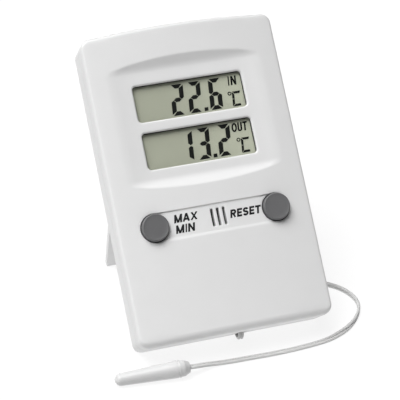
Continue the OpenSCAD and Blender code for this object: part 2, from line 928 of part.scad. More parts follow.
// The ring that the coiled cable fills
module cable_coil() {
    color("white") lying()
        translate([coil_x, coil_y, 0])
            difference() {
                rotate_extrude()
                    translate([(coil_out_r + coil_in_r) / 2, coil_top / 2])
                        rounded_rect(coil_out_r - coil_in_r, coil_top, coil_edge_r);
                translate([-tie_w / 2 - 0.05, 0, -over])
                    cube([tie_w + 0.1, 2 * coil_out_r, over + tie_t]);
            }
}

// The band that holds the coil's turns together
module coil_tie() {
    reach = coil_out_r - coil_in_r + 0.1;
    color("dimgray") lying()
        translate([coil_x - tie_w / 2, coil_y + coil_in_r - 0.05, 0])
            rotate([90, 0, 90])
                linear_extrude(tie_w)
                    translate([reach / 2, (coil_top + tie_t) / 2])
                        difference() {
                            rounded_rect(reach + 2 * tie_t, coil_top + tie_t, 0.8);
                            square([reach, coil_top - tie_t], center = true);
                        }
}

// Turns a shape about the probe's axis, which slopes so that its taper lies flat
module probe_axis() {
    lying()
        translate([probe_x, probe_y, probe_r / cos(probe_taper)])
            rotate([0, -90 - probe_taper, -probe_turn])
                children();
}

// The moulded tube with its round tip, hollow for the potted sensor
module probe_tube() {
    tip_z = probe_l - probe_tip_r;
    color("white") probe_axis() difference() {
        union() {
            cylinder(h = tip_z, r1 = probe_r, r2 = probe_tip_r);
            translate([0, 0, tip_z])
                sphere(r = probe_tip_r);
        }
        translate([0, 0, -over])
            cylinder(h = over + tip_z - 2, r = probe_bore_r);
    }
}

// The plug that closes the tube, stepped and tapered down to the cable
module probe_plug() {
    color("white") probe_axis()
        mirror([0, 0, 1]) {
            cylinder(h = plug_collar[1], r = plug_collar[0]);
            cylinder(h = plug_collar[1] + plug_body[1], r = plug_body[0]);
            translate([0, 0, plug_collar[1] + plug_body[1]])
                cylinder(h = plug_end[1], r1 = plug_body[0] - 0.2, r2 = plug_end[0]);
            mirror([0, 0, 1])
                cylinder(h = 6, r = probe_bore_r - 0.05);
        }
}

// The sensor bead near the tip
module probe_bead() {
    color("black") probe_axis()
        translate([0, 0, 14])
            sphere(r = bead_r);
}

front_cover();
rear_cover();
display_lens();
lcd_glass();
indoor_reading();
outdoor_reading();
lcd_frame();
contact_strips();
circuit_board();
chip_cap();
timing_crystal();
indoor_sensor();
key_pads();
board_screws();
case_screws();
battery_cell();
battery_spring();
battery_plate();
battery_leads();
cable_gland();
inner_cable();
stand_flap();
battery_door();
max_min_key();
reset_key();
cable_from_case();
cable_coil();
coil_tie();
cable_to_probe();
probe_tube();
probe_plug();
probe_bead();
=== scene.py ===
import math

import bmesh
import bpy
from mathutils import Matrix, Vector
from mathutils.geometry import delaunay_2d_cdt


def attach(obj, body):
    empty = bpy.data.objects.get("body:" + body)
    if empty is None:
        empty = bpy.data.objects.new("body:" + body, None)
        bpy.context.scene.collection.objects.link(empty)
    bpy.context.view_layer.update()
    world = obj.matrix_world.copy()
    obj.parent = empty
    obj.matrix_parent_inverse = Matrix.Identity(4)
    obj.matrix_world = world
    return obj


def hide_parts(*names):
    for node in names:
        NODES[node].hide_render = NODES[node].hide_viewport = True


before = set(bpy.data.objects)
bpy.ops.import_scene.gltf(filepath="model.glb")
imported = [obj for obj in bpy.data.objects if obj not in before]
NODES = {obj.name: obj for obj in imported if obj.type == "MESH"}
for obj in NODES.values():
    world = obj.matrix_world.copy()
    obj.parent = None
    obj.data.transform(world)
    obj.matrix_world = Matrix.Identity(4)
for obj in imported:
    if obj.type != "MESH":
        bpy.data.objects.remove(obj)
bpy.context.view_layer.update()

MM = 0.001

# ---------------------------------------------------------------------------
# Frames of the parts, in mm. CASE places the case, which is drawn lying on its
# back: u across, s up the case, n from the back towards the face. TABLE and
# lying() place what lies on the table, with y = 0 at the resting edge.
# ---------------------------------------------------------------------------
LEAN = math.radians(45)
CASE_W, CASE_H = 68.0, 107.4
TOP_Y, PEAK = 108.3, 19.0
BACK_R, CHIN_R, BROW_R, EDGE_R, CORNER_R = 2.0, 2.5, 1.5, 1.0, 3.5
SPLIT = 9.8
EDGE_DROP = BACK_R * (2 * math.sin(LEAN) - 1)
BACK_REACH = (TOP_Y - 2 * BACK_R) * math.sin(LEAN) + BACK_R
FRONT_REACH = (PEAK - 2 * CHIN_R) * math.cos(LEAN) + CHIN_R
FOOT_MID = (BACK_REACH - FRONT_REACH) / 2
SCALE = Matrix.Scale(MM, 4)
CASE = (Matrix.Translation((0, -FOOT_MID * MM, -EDGE_DROP * MM))
        @ Matrix.Rotation(LEAN, 4, "X") @ SCALE)
TABLE = Matrix.Translation((0, -FOOT_MID * MM, 0)) @ SCALE


def lying(x, y, z):
    return TABLE @ Vector((x, y, z))


# ---------------------------------------------------------------------------
# Camera: a long lens, from the left of the display and well above it
# ---------------------------------------------------------------------------
AZIMUTH, ELEVATION = math.radians(16.634), math.radians(35.790)
SENSOR, LENS = 36.0, 148.75
AIM, DISTANCE = (-4.2, 20.0, 44.29), 0.560


def make_camera():
    back = Vector((-math.sin(AZIMUTH) * math.cos(ELEVATION),
                   -math.cos(AZIMUTH) * math.cos(ELEVATION), math.sin(ELEVATION)))
    data = bpy.data.cameras.new("camera")
    data.sensor_width = SENSOR
    data.lens = LENS
    data.clip_start, data.clip_end = 0.05, 20.0
    camera = bpy.data.objects.new("camera", data)
    camera.location = lying(*AIM) + back * DISTANCE
    camera.rotation_euler = back.to_track_quat("Z", "Y").to_euler()
    bpy.context.scene.collection.objects.link(camera)
    bpy.context.scene.camera = camera


make_camera()


# ---------------------------------------------------------------------------
# Mesh helpers
# ---------------------------------------------------------------------------
def piece(name, verts, faces, place, body="case", replaces=(), sharp=35.0):
    """A closed piece from points in mm, put in place, shaded smooth up to an angle."""
    mesh = bpy.data.meshes.new(name)
    mesh.from_pydata([place @ Vector(v) for v in verts], [], faces)
    work = bmesh.new()
    work.from_mesh(mesh)
    bmesh.ops.recalc_face_normals(work, faces=work.faces)
    work.to_mesh(mesh)
    work.free()
    mesh.polygons.foreach_set("use_smooth", [True] * len(mesh.polygons))
    mesh.set_sharp_from_angle(angle=math.radians(sharp))
    obj = bpy.data.objects.new(name, mesh)
    bpy.context.scene.collection.objects.link(obj)
    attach(obj, body)
    if replaces:
        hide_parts(*replaces)
    return obj


class Build:
    """Collects points and faces of one piece."""

    def __init__(self):
        self.verts, self.faces = [], []

    def ring(self, points):
        """Adds points and gives their indices."""
        start = len(self.verts)
        self.verts.extend(points)
        return list(range(start, start + len(points)))

    def strip(self, a, b):
        """Joins two closed rings of the same length with quads."""
        count = len(a)
        for i in range(count):
            j = (i + 1) % count
            self.faces.append((a[i], a[j], b[j], b[i]))

    def cap(self, ring):
        self.faces.append(tuple(ring))

    def rings(self, rows):
        made = [self.ring(row) for row in rows]
        for a, b in zip(made, made[1:]):
            self.strip(a, b)
        return made


def lathe(profile, centre, axis_to, segments=96):
    """Points and faces of a turned shape. profile is (radius, height) from end to end,
    with a radius of 0 at both ends; centre and axis_to place it by a matrix."""
    b = Build()
    rows = []
    for radius, height in profile:
        if radius < 1e-6:
            rows.append(b.ring([axis_to @ Vector((centre[0], centre[1], height))]))
        else:
            rows.append(b.ring([axis_to @ Vector((
                centre[0] + radius * math.cos(2 * math.pi * k / segments),
                centre[1] + radius * math.sin(2 * math.pi * k / segments), height))
                for k in range(segments)]))
    for a, c in zip(rows, rows[1:]):
        if len(a) == 1:
            for i in range(len(c)):
                b.faces.append((a[0], c[i], c[(i + 1) % len(c)]))
        elif len(c) == 1:
            for i in range(len(a)):
                b.faces.append((a[i], c[0], a[(i + 1) % len(a)]))
        else:
            b.strip(a, c)
    return b


def arc(cx, cy, r, start, end, steps):
    """Points on an arc, angles in degrees."""
    return [(cx + r * math.cos(math.radians(start + (end - start) * i / steps)),
             cy + r * math.sin(math.radians(start + (end - start) * i / steps)))
            for i in range(steps + 1)]


def span(low, high, step):
    count = max(1, round(abs(high - low) / step))
    return [low + (high - low) * i / count for i in range(count + 1)]


def smooth(edge0, edge1, x):
    t = min(max((x - edge0) / (edge1 - edge0), 0.0), 1.0)
    return t * t * (3 - 2 * t)


# ---------------------------------------------------------------------------
# The cable. Route points are those of the CAD model: x, y, height of the middle
# and how far the wide side is turned up from the table.
# ---------------------------------------------------------------------------
CABLE_W, CABLE_T = 2.1, 1.1
FLAT_Z, EDGE_Z = CABLE_T / 2, CABLE_W / 2
CABLE_LENGTH = 3000.0
CASE_ROUTE = [
    (3, -2.9, 8.05, 0), (3, -4.4, 5.2, 0), (3, -4.9, 2.6, 0), (3, -3.6, 0.8, 0),
    (3, 0.4, FLAT_Z, 0), (3, 4, FLAT_Z, 0), (3.1, 7.2, 0.9, 45), (4, 10.4, EDGE_Z, 90),
    (6.6, 13, EDGE_Z, 90), (10.5, 14, EDGE_Z, 90), (16, 14, EDGE_Z, 90), (22, 14, EDGE_Z, 90),
    (27, 14.2, EDGE_Z, 90), (31, 15.8, EDGE_Z, 90), (33.3, 19.2, EDGE_Z, 90),
    (33.9, 24, EDGE_Z, 90), (34, 31, EDGE_Z, 90), (34, 39, EDGE_Z, 90),
    (34, 47, EDGE_Z, 90), (34.2, 55, EDGE_Z, 90), (34.9, 63, EDGE_Z, 90),
    (35.8, 70, EDGE_Z, 90)]
PROBE_ROUTE = [
    (36.4, 80, EDGE_Z, 90), (37, 84.5, EDGE_Z, 90), (39, 88.2, EDGE_Z, 90),
    (42.2, 89.6, EDGE_Z, 90), (45.2, 88, EDGE_Z, 90), (46.6, 84.5, EDGE_Z, 90),
    (46.8, 79, EDGE_Z, 90), (46.6, 72, EDGE_Z, 90), (46.2, 65, EDGE_Z, 90),
    (45.6, 58, EDGE_Z, 90), (44.8, 51, EDGE_Z, 90), (43.6, 44, EDGE_Z, 90),
    (41.8, 37.5, EDGE_Z, 90), (39.2, 31.5, EDGE_Z, 90), (37.2, 26.6, EDGE_Z, 90),
    (37, 22, EDGE_Z, 90), (38.4, 18.2, EDGE_Z, 90), (41.4, 15.3, EDGE_Z, 90),
    (44.6, 12.4, EDGE_Z, 90), (47, 9, EDGE_Z, 90), (48.3, 5.4, EDGE_Z, 90),
    (48.5, 1.8, EDGE_Z, 90), (47.4, -1.7, EDGE_Z, 90), (45, -5.4, EDGE_Z, 85),
    (41.5, -8.8, 1.02, 62), (37, -11.4, 0.92, 34), (31.8, -13.2, 0.7, 10),
    (25.6, -14, FLAT_Z, 0), (18, -14.5, FLAT_Z, 0), (10.6, -14.6, FLAT_Z, 0),
    (3.4, -14.4, FLAT_Z, 0), (-3.4, -14.2, FLAT_Z, 0), (-8, -14.2, 0.85, 0),
    (-12, -14.7, 1.7, 0), (-15, -15.5, 2.6, 0), (-17.2, -15.9, 3.1, 0),
    (-18.4, -15.9, 3.2, 0)]
COIL_X, COIL_Y = 18.0, 78.0
COIL_OUTER, COIL_LAST = 17.4, 18.45
COIL_LAYERS, COIL_TURNS = 4, 7.375
COIL_BASE, COIL_STEP = 1.55, 2.15
COIL_INNER_RANGE, HALVINGS = (6.0, 11.0), 40


def curve_through(points, steps):
    """A smooth curve through the points, with some steps between each pair."""
    made = []
    last = len(points) - 1
    for i in range(last):
        a, b, c, d = (Vector(points[k]) for k in (max(i - 1, 0), i, i + 1, min(i + 2, last)))
        for s in range(steps):
            t = s / steps
            made.append(0.5 * (2 * b + (c - a) * t + (2 * a - 5 * b + 4 * c - d) * t * t
                               + (3 * b - a - 3 * c + d) * t ** 3))
    made.append(Vector(points[last]))
    return made


def coil_points(inner, per_turn=32):
    """The coil's turns: four layers wound in and out, then down the outside."""
    rows = []
    angle = -0.014
    radii = [(COIL_OUTER, inner), (inner, COIL_OUTER)] * (COIL_LAYERS // 2)
    for layer, (r0, r1) in enumerate(radii):
        z = COIL_BASE + layer * COIL_STEP
        count = round(COIL_TURNS * per_turn)
        for i in range(count):
            f = i / count
            rows.append((angle + COIL_TURNS * f, r0 + (r1 - r0) * f, z))
        angle += COIL_TURNS
        climb = 0.5 if layer < COIL_LAYERS - 1 else 0.0
        for i in range(round(climb * per_turn)):
            f = i / (climb * per_turn)
            rows.append((angle + climb * f, r1, z + COIL_STEP * smooth(0, 1, f)))
        angle += climb
    top = COIL_BASE + (COIL_LAYERS - 1) * COIL_STEP
    end = math.ceil(angle + 0.5) + 0.004
    count = round((end - angle) * per_turn)
    over = EDGE_Z + CABLE_W + 0.15
    for i in range(count + 1):
        f = i / count
        turn = angle + (end - angle) * f
        left = end - turn
        r = COIL_OUTER + (COIL_LAST - COIL_OUTER) * smooth(0, 0.25, f)
        high = top + (over - top) * smooth(0, 1, min(1, (turn - angle) / (end - angle - 0.05)))
        z = EDGE_Z + (high - EDGE_Z) * smooth(0.0, 0.075, left)
        rows.append((turn, r, z))
    return [Vector((COIL_X + r * math.cos(2 * math.pi * t), COIL_Y + r * math.sin(2 * math.pi * t),
                    z, 90)) for t, r, z in rows]


def cable_route(inner):
    coil = coil_points(inner)
    to_coil = curve_through(CASE_ROUTE + [tuple(coil[0]), tuple(coil[4])], 8)[:-8]
    after = [tuple(coil[-5])] + [tuple(coil[-1])] + PROBE_ROUTE
    from_coil = curve_through(after, 8)[8:]
    return to_coil[:-1] + coil[:-1] + from_coil


def length_of(points):
    return sum((b.to_3d() - a.to_3d()).length for a, b in zip(points, points[1:]))


def fit_route():
    """Sets the coil's inner radius so that the whole cable has its real length."""
    low, high = COIL_INNER_RANGE
    for _ in range(HALVINGS):
        middle = (low + high) / 2
        if length_of(cable_route(middle)) < CABLE_LENGTH:
            low = middle
        else:
            high = middle
    return cable_route(middle)


def twin_section():
    """Outline of the flat pair: two round cores with a groove between them."""
    r, half = CABLE_T / 2, (CABLE_W - CABLE_T) / 2
    right = [(half + r * math.cos(math.radians(a)), r * math.sin(math.radians(a)))
             for a in (-125, -92, -58, -25, 0, 25, 58, 92, 125)]
    groove = (0.0, 0.4 * r)
    left = [(-x, -y) for x, y in right]
    return right + [groove] + left + [(0.0, -groove[1])]


def make_cable():
    route = fit_route()
    section = twin_section()
    b = Build()
    last = len(route) - 1
    previous = None
    for i, q in enumerate(route):
        at = q.to_3d()
        ahead = (route[min(i + 1, last)].to_3d() - route[max(i - 1, 0)].to_3d()).normalized()
        steep = abs(ahead.z) > 0.4
        aside = Vector((1, 0, 0)) if steep else Vector((ahead.y, -ahead.x, 0)).normalized()
        up = aside.cross(ahead)
        turn = math.radians(q[3])
        row = []
        for w, t in section:
            level = w * math.cos(turn) - t * math.sin(turn)
            rise = w * math.sin(turn) + t * math.cos(turn)
            row.append(at + level * aside + rise * up)
        ring = b.ring(row)
        if previous:
            b.strip(previous, ring)
        else:
            b.cap(ring[::-1])
        previous = ring
    b.cap(previous)
    obj = piece("flat_cable", b.verts, b.faces, TABLE, sharp=50,
                replaces=("cable_from_case", "cable_coil", "cable_to_probe"))
    return obj, [lying(*q.to_3d()) for q in route]


cable, cable_path = make_cable()


def make_tie():
    """The band around the coil: it follows the turns with rounded corners."""
    inner, outer, high = 7.15, 19.15, 9.6
    t, half, r, bevel = 0.45, 1.5, 0.9, 0.1
    b = Build()

    def loop(grow, radius):
        a, c = inner - grow, outer + grow
        d, e = t - grow, high - t + grow
        return (arc(a + radius, d + radius, radius, 180, 270, 6)
                + arc(c - radius, d + radius, radius, 270, 360, 6)
                + arc(c - radius, e - radius, radius, 0, 90, 6)
                + arc(a + radius, e - radius, radius, 90, 180, 6))

    rows = []
    for x, grow, radius in ((-half, 0.0, r), (-half, t - bevel, r + t),
                            (-half + bevel, t, r + t), (half - bevel, t, r + t),
                            (half, t - bevel, r + t), (half, 0.0, r)):
        rows.append([(COIL_X + x, COIL_Y + y, z) for y, z in loop(grow, radius)])
    made = b.rings(rows)
    b.strip(made[-1], made[0])
    return piece("tie_band", b.verts, b.faces, TABLE,
                 replaces=("coil_tie",))


tie = make_tie()

# ---------------------------------------------------------------------------
# The probe: a tapered tube with a round tip, and the stepped plug that closes it
# ---------------------------------------------------------------------------
PROBE_L, PROBE_R, TIP_R, PROBE_TURN = 21.5, 3.0, 2.15, math.radians(4)
PROBE_X, PROBE_Y = -22.5, -15.6
TAPER = math.atan((PROBE_R - TIP_R) / (PROBE_L - TIP_R))
PROBE = (Matrix.Translation((PROBE_X, PROBE_Y, PROBE_R / math.cos(TAPER)))
         @ Matrix.Rotation(-PROBE_TURN, 4, "Z") @ Matrix.Rotation(-math.pi / 2 - TAPER, 4, "Y"))


def make_probe():
    tip = [(TIP_R * math.cos(math.radians(a)), PROBE_L - TIP_R + TIP_R * math.sin(math.radians(a)))
           for a in range(6, 90, 7)]
    wall = [(PROBE_R - (PROBE_R - TIP_R) * f, (PROBE_L - TIP_R) * f) for f in span(0.02, 1, 0.14)]
    tube = ([(0, 14.0), (1.7, 14.0), (1.7, 0.0), (PROBE_R - 0.16, 0.0), (PROBE_R - 0.04, 0.06)]
            + wall + tip + [(0, PROBE_L)])
    shape = lathe(tube, (0, 0), PROBE)
    body = piece("probe_body", shape.verts, shape.faces, TABLE,
                 replaces=("probe_tube",))
    plug = [(0, 5.9), (1.6, 5.9), (1.62, 0.0), (2.76, 0.0), (2.78, -0.1), (2.78, -0.2),
            (2.96, -0.26), (3.0, -0.34), (3.0, -0.62), (2.94, -0.7), (2.8, -0.74), (2.78, -0.82),
            (2.78, -2.2), (2.7, -2.36), (2.54, -2.46), (1.9, -3.86), (1.78, -3.98), (1.6, -4.0),
            (0, -4.0)]
    shape = lathe(plug, (0, 0), PROBE)
    stop = piece("probe_end_plug", shape.verts, shape.faces, TABLE,
                 replaces=("probe_plug",))
    return body, stop


probe_body, probe_stop = make_probe()


# ---------------------------------------------------------------------------
# The case's outline and the height of its face
# ---------------------------------------------------------------------------
CROWN, CROWN_REACH = 2.0, 32.5
CROWN_RADIUS = (CROWN_REACH ** 2 + CROWN ** 2) / (2 * CROWN)
ARCH, ARCH_REACH = 0.9, 28.5
ARCH_RADIUS = (ARCH_REACH ** 2 + ARCH ** 2) / (2 * ARCH)
WALL, SHOULDER = 1.8, 0.9
FACE_GRID, GRID_LOW, GRID_HALF = 1.05, 2.9, 32.6
PANEL, PANEL_BACK, PANEL_CLEAR = 17.25, 16.27, 0.01
PANEL_FLOOR = (0.0, 74.25, 50.8, 38.9, 3.5)  # middle across and up, width, height, corner
PANEL_SLOPE, PANEL_SOFT = 0.515, 1.25
SIDE_SLOPE, SIDE_START, SIDE_SOFT = 0.15, 2.2, 4.0
PANEL_LOOPS = (-1.0, 4.6)
DEEP_LOW, DEEP_HIGH, DEEP_SOFT = 46.0, 100.0, 2.0
WINDOW_W, WINDOW_H, WINDOW_R = 38.75, 12.8, 1.3
WINDOW_MIDS = (82.05, 65.45)
WINDOW_ROUND, WINDOW_STEPS = 0.65, 6
KEY_U, KEY_S, KEY_HOLE, KEY_BEVEL, KEY_WALL = 21.4, 39.2, 4.95, 0.22, 2.4
STRIP_HALF, STRIP_DEPTH, STRIP_TILT, STRIP_CLEAR = 4.75, 0.45, 0.45, 0.95
STRIP_REACH = KEY_U - math.sqrt((KEY_HOLE + KEY_BEVEL) ** 2 - STRIP_HALF ** 2) + 0.3
STRIP_LEVELS = (-0.6, -0.4, -0.24, -0.16, -0.08, 0.0, 0.08, 0.16, 0.3, 0.5, 0.75)
SLOTS = (-1.25, 0.85, 2.95)
SLOT_MID, SLOT_LONG, SLOT_WIDE, SLOT_CORNER, SLOT_WALL = 39.3, 6.1, 0.98, 0.16, 2.6


def arch_rise(u):
    return max(0.0, TOP_Y - CASE_H - ARCH_RADIUS + math.sqrt(ARCH_RADIUS ** 2 - u * u))


def edge_radius(outward_s):
    end = BROW_R if outward_s > 0 else CHIN_R
    return EDGE_R + (end - EDGE_R) * outward_s ** 2


def inside_rim(u, s):
    """How far a point of the face lies inside the start of the rounded edge."""
    middle = CASE_H / 2
    across, up = abs(u) - CASE_W / 2 + CORNER_R, abs(s - middle) - middle + CORNER_R
    if across > 0 and up > 0:
        reach = math.hypot(across, up)
        return CORNER_R - reach - edge_radius(math.copysign(up / reach, s - middle))
    high = CASE_H + arch_rise(u) - s - BROW_R
    return min(CASE_W / 2 - abs(u) - EDGE_R, s - CHIN_R, high)


def case_outline():
    """(u, s, outward u, outward s) around the case, anticlockwise from the lower left."""
    w, r = CASE_W / 2, CORNER_R
    points = [(u, 0.0, 0.0, -1.0) for u in span(-w + r, w - r, 1.5)]

    def corner(cu, cs, start):
        return [(cu + r * math.cos(a), cs + r * math.sin(a), math.cos(a), math.sin(a))
                for a in (math.radians(start + 90 * i / 14) for i in range(1, 14))]

    points += corner(w - r, r, -90)
    points += [(w, s, 1.0, 0.0) for s in span(r, CASE_H - r, 2.0)]
    points += corner(w - r, CASE_H - r, 0)
    for u in span(w - r, -w + r, 1.5):
        rise = arch_rise(u)
        tilt = u / ARCH_RADIUS if rise > 0 else 0.0
        points.append((u, CASE_H + rise, tilt, math.sqrt(1 - tilt * tilt)))
    points += corner(-w + r, CASE_H - r, 90)
    points += [(-w, s, -1.0, 0.0) for s in span(CASE_H - r, r, 2.0)]
    points += corner(-w + r, r, 180)
    return points


def ramp(x, width):
    """0 below, x above, with a soft bend of the given half width."""
    if x <= -width:
        return 0.0
    if x >= width:
        return x
    return (x + width) ** 2 / (4 * width)


def crown_height(u):
    return PEAK - CROWN_RADIUS + math.sqrt(CROWN_RADIUS ** 2 - u * u)


def strip_depth(u, s):
    """The shallow strip between the keys: a crisp upper edge and a soft lower one."""
    if abs(u) > KEY_U:
        return 0.0
    upper = smooth(-0.16, 0.16, KEY_S + STRIP_HALF - s)
    above = s - KEY_S + STRIP_HALF
    tilt = 1 - STRIP_TILT + STRIP_TILT * min(max(above / STRIP_HALF / 2, 0.0), 1.0)
    return STRIP_DEPTH * tilt * upper * smooth(-0.75, 0.6, above)


def face_height(u, s):
    """The crowned face with the panel sunk into it, blended where the two meet."""
    crown = crown_height(u)
    along = abs(s - PANEL_FLOOR[1]) - PANEL_FLOOR[3] / 2
    aside = abs(u) - PANEL_FLOOR[2] / 2
    panel = (PANEL + PANEL_SLOPE * ramp(along, PANEL_SOFT)
             + SIDE_SLOPE * ramp(aside + SIDE_START, SIDE_SOFT))
    k = 0.2 + 0.3 * smooth(22.0, 26.0, abs(u))
    h = max(k - abs(crown - panel), 0.0) / k
    return min(crown, panel) - h * h * k / 4 - strip_depth(u, s)


def inner_height(u, s):
    """The inside of the wall: flat behind the panel, parallel to the crown elsewhere."""
    deep = (smooth(DEEP_LOW, DEEP_LOW + DEEP_SOFT, s)
            * (1 - smooth(DEEP_HIGH - DEEP_SOFT, DEEP_HIGH, s)))
    return deep * (PANEL_BACK - PANEL_CLEAR) + (1 - deep) * (crown_height(u) - WALL)


def rounded_loop(cu, cs, w, h, r, steps=7):
    """Outline of a rounded rectangle, anticlockwise."""
    points = []
    for x, y, a in ((1, -1, -90), (1, 1, 0), (-1, 1, 90), (-1, -1, 180)):
        points += arc(cu + x * (w / 2 - r), cs + y * (h / 2 - r), r, a, a + 90, steps)
    return points


def with_sides(loop, longest):
    """The same loop with its long sides divided."""
    made = []
    for a, b in zip(loop, loop[1:] + loop[:1]):
        gap = math.dist(a, b)
        count = max(1, round(gap / longest))
        made += [(a[0] + (b[0] - a[0]) * i / count, a[1] + (b[1] - a[1]) * i / count)
                 for i in range(count)]
    return made


def in_rounded(u, s, cu, cs, w, h, r):
    """Distance outside a rounded rectangle, negative inside it."""
    x, y = abs(u - cu) - (w / 2 - r), abs(s - cs) - (h / 2 - r)
    return math.hypot(max(x, 0), max(y, 0)) + min(max(x, y), 0) - r


def front_openings():
    """Each opening as (outline, rounded rectangle, rows, depth). A row is how far the edge
    is grown outwards and how far it has dropped, from the face down to the straight wall."""
    holes = []
    bevel = [math.radians(90 * i / WINDOW_STEPS) for i in range(WINDOW_STEPS + 1)]
    rows = [(WINDOW_ROUND * (1 - math.sin(a)), WINDOW_ROUND * (1 - math.cos(a))) for a in bevel]
    for mid in WINDOW_MIDS:
        shape = (0.0, mid, WINDOW_W, WINDOW_H, WINDOW_R)
        holes.append((with_sides(rounded_loop(*shape), 1.6), shape, rows, PANEL - PANEL_BACK))
    rows = [(KEY_BEVEL, 0.0), (0.1, 0.05), (0.03, 0.12), (0.0, 0.22)]
    for side in (-1, 1):
        base = arc(side * KEY_U, KEY_S, KEY_HOLE, 0, 360, 72)[:-1]
        shape = (side * KEY_U, KEY_S, 2 * KEY_HOLE, 2 * KEY_HOLE, KEY_HOLE)
        holes.append((base, shape, rows, KEY_WALL))
    rows = [(0.04, 0.0), (0.01, 0.02), (0.0, 0.06)]
    for u in SLOTS:
        shape = (u, SLOT_MID, SLOT_WIDE, SLOT_LONG, SLOT_CORNER)
        holes.append((with_sides(rounded_loop(*shape, 3), 0.8), shape, rows, SLOT_WALL))
    return holes


def grown(loop, shape, grow):
    """The loop moved outwards from a rounded rectangle's outline."""
    cu, cs, w, h, r = shape
    made = []
    for u, s in loop:
        cx = min(max(u, cu - w / 2 + r), cu + w / 2 - r)
        cy = min(max(s, cs - h / 2 + r), cs + h / 2 - r)
        length = math.dist((u, s), (cx, cy))
        made.append((cx + (u - cx) * (length + grow) / length,
                     cy + (s - cy) * (length + grow) / length))
    return made


def near(u, s, holes, margin):
    """Whether a point is in an opening or within the margin outside its outermost loop."""
    return any(in_rounded(u, s, *shape) < drops[0][0] + margin for _, shape, drops, _ in holes)


def marks(low, high):
    made, x = [], low
    while x < high:
        made.append(x)
        x += FACE_GRID
    return made


def face_layout(rim, holes):
    """Points of the face and the edges to keep: the rim, the loops of every opening, lines
    along the strip, loops round the panel and a grid over what is left."""
    flat, edges = [], []

    def add_line(points, closed):
        ids = list(range(len(flat), len(flat) + len(points)))
        flat.extend(points)
        edges.extend(zip(ids, ids[1:]))
        if closed:
            edges.append((ids[-1], ids[0]))
        return ids

    rim_ids = add_line([(p[0], p[1]) for p in rim], True)
    loops = [add_line(grown(base, shape, drops[0][0]), True) for base, shape, drops, _ in holes]
    for level in STRIP_LEVELS:
        for side in (-1, 1):
            s = KEY_S + side * (STRIP_HALF + level)
            add_line([(u, s) for u in span(-STRIP_REACH, STRIP_REACH, 1.2)], False)
    around = with_sides(rounded_loop(*PANEL_FLOOR, 16), 0.9)
    for away in span(*PANEL_LOOPS, 0.2):
        flat.extend(grown(around, PANEL_FLOOR, away))
    for s in marks(GRID_LOW, TOP_Y - WALL):
        for u in marks(-GRID_HALF, GRID_HALF):
            on_strip = (abs(abs(s - KEY_S) - STRIP_HALF) < STRIP_CLEAR
                        and abs(u) < STRIP_REACH + 0.2)
            on_panel = PANEL_LOOPS[0] - 0.3 < in_rounded(u, s, *PANEL_FLOOR) < PANEL_LOOPS[1] + 0.3
            if not (near(u, s, holes, 0.3) or on_strip or on_panel or inside_rim(u, s) < 0.4):
                flat.append((u, s))
    return flat, edges, rim_ids, loops


def make_front():
    """The front cover: rounded wall, sculpted face, flat inside and every opening."""
    outline = case_outline()
    b = Build()
    steps = 8
    radius = [edge_radius(p[3]) for p in outline]

    def inset_loop(inset, height):
        return [(p[0] - p[2] * inset, p[1] - p[3] * inset, height) for p in outline]

    def edge_loop(angle):
        made = []
        for p, r in zip(outline, radius):
            inset = r * (1 - math.cos(angle))
            u, s = p[0] - p[2] * inset, p[1] - p[3] * inset
            made.append((u, s, face_height(u, s) - r * (1 - math.sin(angle))))
        return made

    # The parting line is a fine groove: the wall's foot is drawn in a little
    wall = [inset_loop(WALL, SPLIT + 0.04), inset_loop(0.3, SPLIT + 0.04),
            inset_loop(0.06, SPLIT + 0.1), inset_loop(0.0, SPLIT + 0.22)]
    rows = b.rings(wall + [edge_loop(math.radians(90 * i / steps)) for i in range(steps)])

    holes = front_openings()
    flat, edges, rim_ids, loops = face_layout(edge_loop(math.pi / 2), holes)
    out = delaunay_2d_cdt([Vector(p) for p in flat], edges, [], 0, 1e-5)
    points, triangles, origin = out[0], out[2], out[3]
    where = {source: k for k, sources in enumerate(origin) for source in sources}
    top = b.ring([(p.x, p.y, face_height(p.x, p.y)) for p in points])
    under = b.ring([(p.x, p.y, inner_height(p.x, p.y)) for p in points])
    for tri in triangles:
        u = sum(points[k].x for k in tri) / 3
        s = sum(points[k].y for k in tri) / 3
        if not near(u, s, holes, -0.015):
            b.faces.append(tuple(top[k] for k in tri))
            b.faces.append(tuple(under[k] for k in reversed(tri)))
    b.strip(rows[-1], [top[where[k]] for k in rim_ids])
    shoulder = b.ring([(u, s, inner_height(u, s) - SHOULDER) for u, s, _ in wall[0]])
    b.strip([under[where[k]] for k in rim_ids], shoulder)
    b.strip(shoulder, rows[0])
    for (base, shape, drops, depth), ids in zip(holes, loops):
        previous = [top[where[k]] for k in ids]
        for grow, drop in drops[1:]:
            ring = b.ring([(u, s, face_height(u, s) - drop) for u, s in grown(base, shape, grow)])
            b.strip(previous, ring)
            previous = ring
        bottom = b.ring([(u, s, min(face_height(u, s) - depth, inner_height(u, s)))
                         for u, s in grown(base, shape, 0.0)])
        b.strip(previous, bottom)
        b.strip(bottom, [under[where[k]] for k in ids])
    return piece("front_shell", b.verts, b.faces, CASE,
                 replaces=("front_cover",), sharp=38)


front = make_front()


